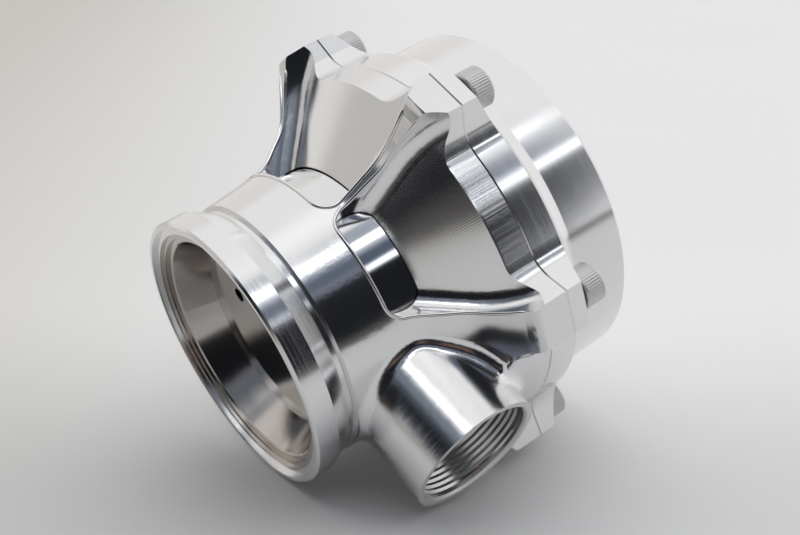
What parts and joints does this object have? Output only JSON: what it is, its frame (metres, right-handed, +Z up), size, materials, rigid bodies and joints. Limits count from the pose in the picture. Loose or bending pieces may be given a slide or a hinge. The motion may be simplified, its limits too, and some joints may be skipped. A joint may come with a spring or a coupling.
{
  "type": "blow-off valve",
  "caption": "Blow-off valve with a V-band inlet flange, open windows between ribs, a threaded side port and a spring-loaded piston under a screwed cap.",
  "frame": {"origin": "centre of the inlet flange's face, on the valve axis", "axes": "+X along the valve axis from the inlet to the cap; +Z up as the valve lies on a bench; the side port points to -Y and a little down"},
  "size_m": [0.0881, 0.098, 0.0898],
  "materials": {
    "body_aluminium": "machined and polished",
    "cap_aluminium": "satin turned",
    "piston_aluminium": "polished",
    "screw_steel": "satin",
    "spring_steel": "satin",
    "seal_rubber": "matt",
    "guide_plastic": "matt",
    "fitting_brass": "turned"
  },
  "bodies": {
    "housing": {"valve_body": "body_aluminium", "actuator_cap": "cap_aluminium", "cap_screws": "screw_steel", "cap_seal": "seal_rubber", "skirt_seal": "seal_rubber", "skirt_guide_band": "guide_plastic", "spring_shim": "spring_steel", "bump_stop": "seal_rubber", "signal_fitting": "fitting_brass", "signal_seal": "guide_plastic", "outer_spring": "spring_steel", "inner_spring": "spring_steel"},
    "valve": {"valve_piston": "piston_aluminium", "seat_seal": "seal_rubber", "spring_seat": "spring_steel", "actuator_piston": "piston_aluminium", "actuator_seal": "seal_rubber", "actuator_guide_band": "guide_plastic", "joint_seal": "seal_rubber", "piston_screws": "screw_steel"}
  },
  "joints": [
    {"name": "valve_slide", "type": "slide", "parent": "housing", "child": "valve", "axis": [1, 0, 0], "range_m": [0, 0.0191], "stiffness_N_per_m": 6400, "springref_m": -0.018, "deforming": ["outer_spring", "inner_spring"]}
  ]
}
